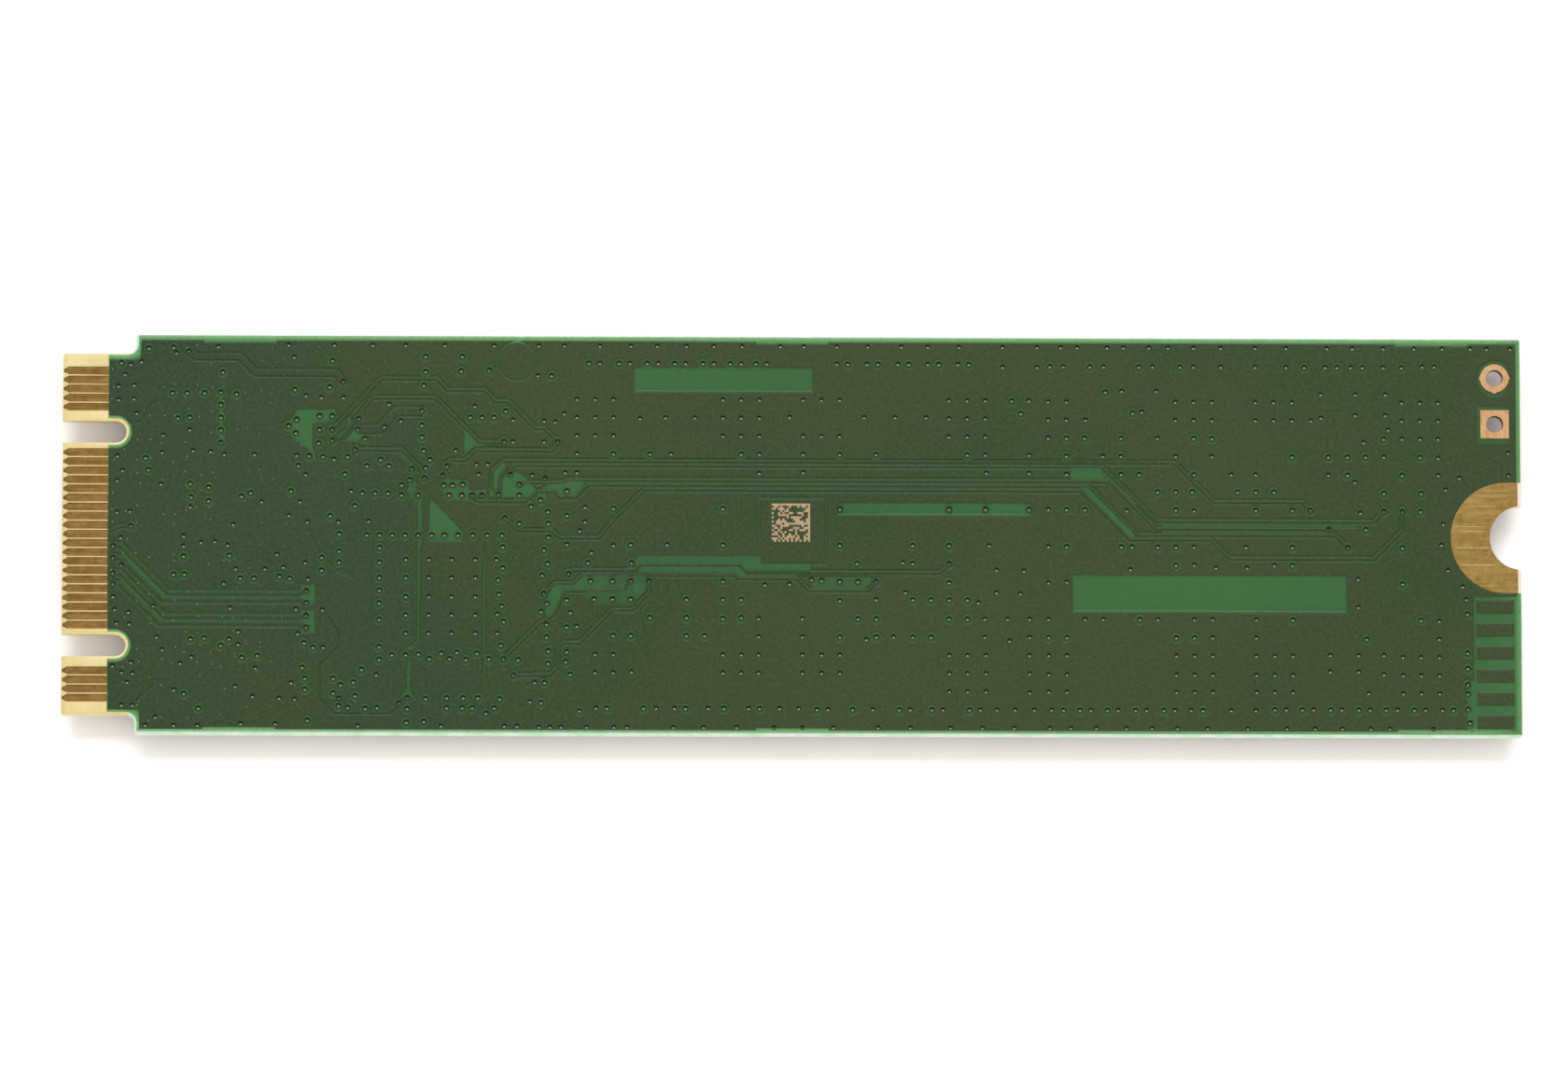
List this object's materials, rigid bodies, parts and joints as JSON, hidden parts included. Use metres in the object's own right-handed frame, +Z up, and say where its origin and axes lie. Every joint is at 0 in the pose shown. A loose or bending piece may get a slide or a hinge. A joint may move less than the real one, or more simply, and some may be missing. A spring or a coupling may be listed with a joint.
{
  "type": "sata solid state drive",
  "caption": "Bare M.2 storage card lying component side down: green circuit board with a keyed gold edge connector, a half-round screw notch and moulded memory packages beneath.",
  "frame": {"origin": "on the table under the middle of the card, at the faces of the flash packages", "axes": "+X along the card from the edge connector to the screw notch, +Y across it, +Z up out of its bare back"},
  "size_m": [0.08, 0.022, 0.0021],
  "materials": {
    "laminate": "woven glass laminate under green solder mask",
    "masked_copper": "semi-gloss green solder mask over copper",
    "gold_plate": "satin gold flash",
    "bare_copper": "satin preserved copper",
    "black_moulding": "fine matt moulding compound",
    "package_substrate": "green masked package laminate",
    "solder": "bright tin solder",
    "tinned_metal": "matt tin",
    "white_ceramic": "unglazed ceramic",
    "nickel_lid": "nickel-plated lid",
    "ferrite_moulding": "grey metal-powder moulding",
    "capacitor_ceramic": "brown fired ceramic",
    "resistor_coat": "black glazed coat"
  },
  "bodies": {
    "root": {"back_contacts": "gold_plate", "back_copper_pour": "masked_copper", "back_screw_pad": "gold_plate", "back_test_pads": "masked_copper", "back_tracks": "masked_copper", "bulk_capacitor_bodies": "capacitor_ceramic", "bulk_capacitor_terminals": "tinned_metal", "circuit_board": "laminate", "controller_balls": "solder", "controller_package": "black_moulding", "controller_substrate": "package_substrate", "crystal_base": "white_ceramic", "crystal_lid": "nickel_lid", "flash_balls_1": "solder", "flash_balls_2": "solder", "flash_balls_3": "solder", "flash_balls_4": "solder", "flash_package_1": "black_moulding", "flash_package_2": "black_moulding", "flash_package_3": "black_moulding", "flash_package_4": "black_moulding", "flash_substrate_1": "package_substrate", "flash_substrate_2": "package_substrate", "flash_substrate_3": "package_substrate", "flash_substrate_4": "package_substrate", "front_contacts": "gold_plate", "front_copper_pour": "masked_copper", "front_screw_pad": "gold_plate", "header_land_round": "bare_copper", "header_land_square": "bare_copper", "inductor_bodies": "ferrite_moulding", "inductor_terminals": "tinned_metal", "load_switch": "black_moulding", "memory_balls": "solder", "memory_package": "black_moulding", "memory_substrate": "package_substrate", "power_chip": "black_moulding", "power_chip_leads": "tinned_metal", "resistor_bodies": "resistor_coat", "resistor_terminals": "tinned_metal", "small_capacitor_bodies": "capacitor_ceramic", "small_capacitor_terminals": "tinned_metal"}
  },
  "joints": []
}
